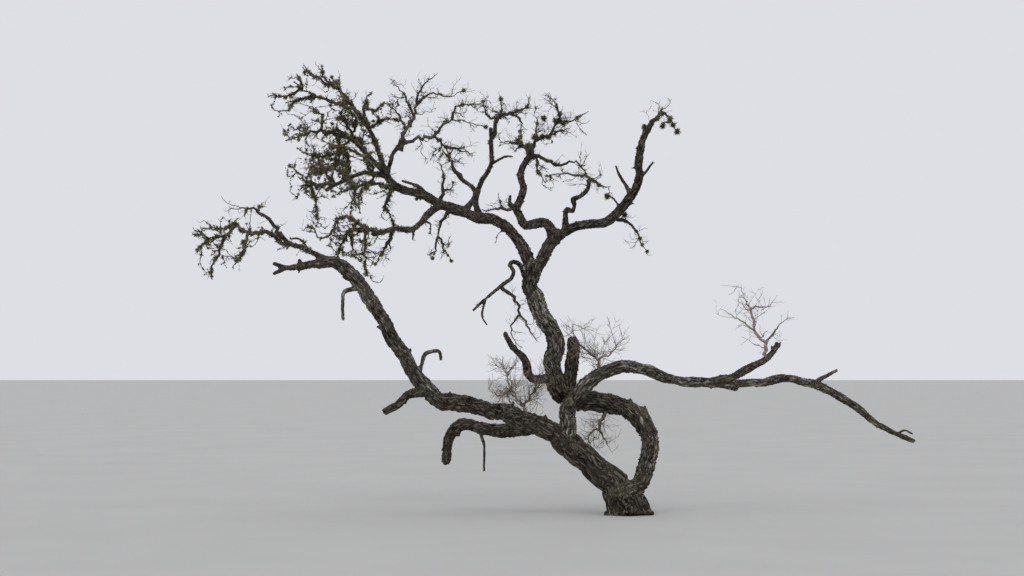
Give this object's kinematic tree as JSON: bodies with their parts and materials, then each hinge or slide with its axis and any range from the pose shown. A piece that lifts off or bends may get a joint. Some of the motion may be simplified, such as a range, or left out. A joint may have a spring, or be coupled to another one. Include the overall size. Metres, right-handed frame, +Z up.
{
  "type": "dead tree",
  "caption": "Dead leafless tree, rooted in the ground: leaning trunk with a low side limb, arched second stem, upright stem and a wide bare crown of gnarled boughs and twigs.",
  "frame": {"origin": "middle of the flat cut under the trunk, at ground level", "axes": "+Z up, +X towards the long right limb and away from the low left limb, +Y away from the viewer of the front"},
  "size_m": [9.0855, 3.4111, 5.7833],
  "materials": {
    "bark": "rough furrowed dead bark, matt",
    "dead_twigs": "dry twigs with lichen, matt"
  },
  "bodies": {
    "root": {"trunk": "bark", "low_limb": "bark", "left_stem": "bark", "left_tip": "bark", "left_spur": "bark", "back_limb": "bark", "arch_leg": "bark", "arch_beam": "bark", "upright": "bark", "upright_stub": "bark", "left_bough": "bark", "right_bough": "bark", "middle_bough": "bark", "right_crown_bough": "bark", "small_mid_bough": "bark", "inner_bough": "bark", "forked_bough": "bark", "low_bough": "bark", "hook_bough": "bark", "foot_bough": "bark", "right_limb": "bark", "right_limb_end": "bark", "right_rise": "bark", "far_left_bough": "bark", "crown_bough_top": "bark", "crown_bough_left": "bark", "crown_bough_low": "bark", "crown_bough_mid": "bark", "twigs_crown_top": "dead_twigs", "twigs_crown_side": "dead_twigs", "twigs_crown_upper_left": "dead_twigs", "twigs_crown_mid_left": "dead_twigs", "twigs_crown_low_left": "dead_twigs", "twigs_crown_core": "dead_twigs", "twigs_crown_front": "dead_twigs", "twigs_bough_end": "dead_twigs", "twigs_crown_back": "dead_twigs", "twigs_low_bough": "dead_twigs", "twigs_low_hangers": "dead_twigs", "twigs_bough_hangers": "dead_twigs", "twigs_far_left_upper": "dead_twigs", "twigs_far_left_lower": "dead_twigs", "twigs_crown_mid": "dead_twigs", "twigs_crown_mid_right": "dead_twigs", "twigs_inner_top": "dead_twigs", "twigs_middle_top": "dead_twigs", "twigs_elbow": "dead_twigs", "twigs_middle_left": "dead_twigs", "twigs_middle_side": "dead_twigs", "twigs_small_mid": "dead_twigs", "twigs_right_tip": "dead_twigs", "twigs_right_hanging": "dead_twigs", "twigs_hook": "dead_twigs", "twigs_thin_riser": "dead_twigs", "twigs_forked": "dead_twigs", "twigs_right_rise": "dead_twigs", "twigs_arch_top": "dead_twigs", "twigs_low_fork": "dead_twigs", "twigs_arch_inner": "dead_twigs"}
  },
  "joints": []
}
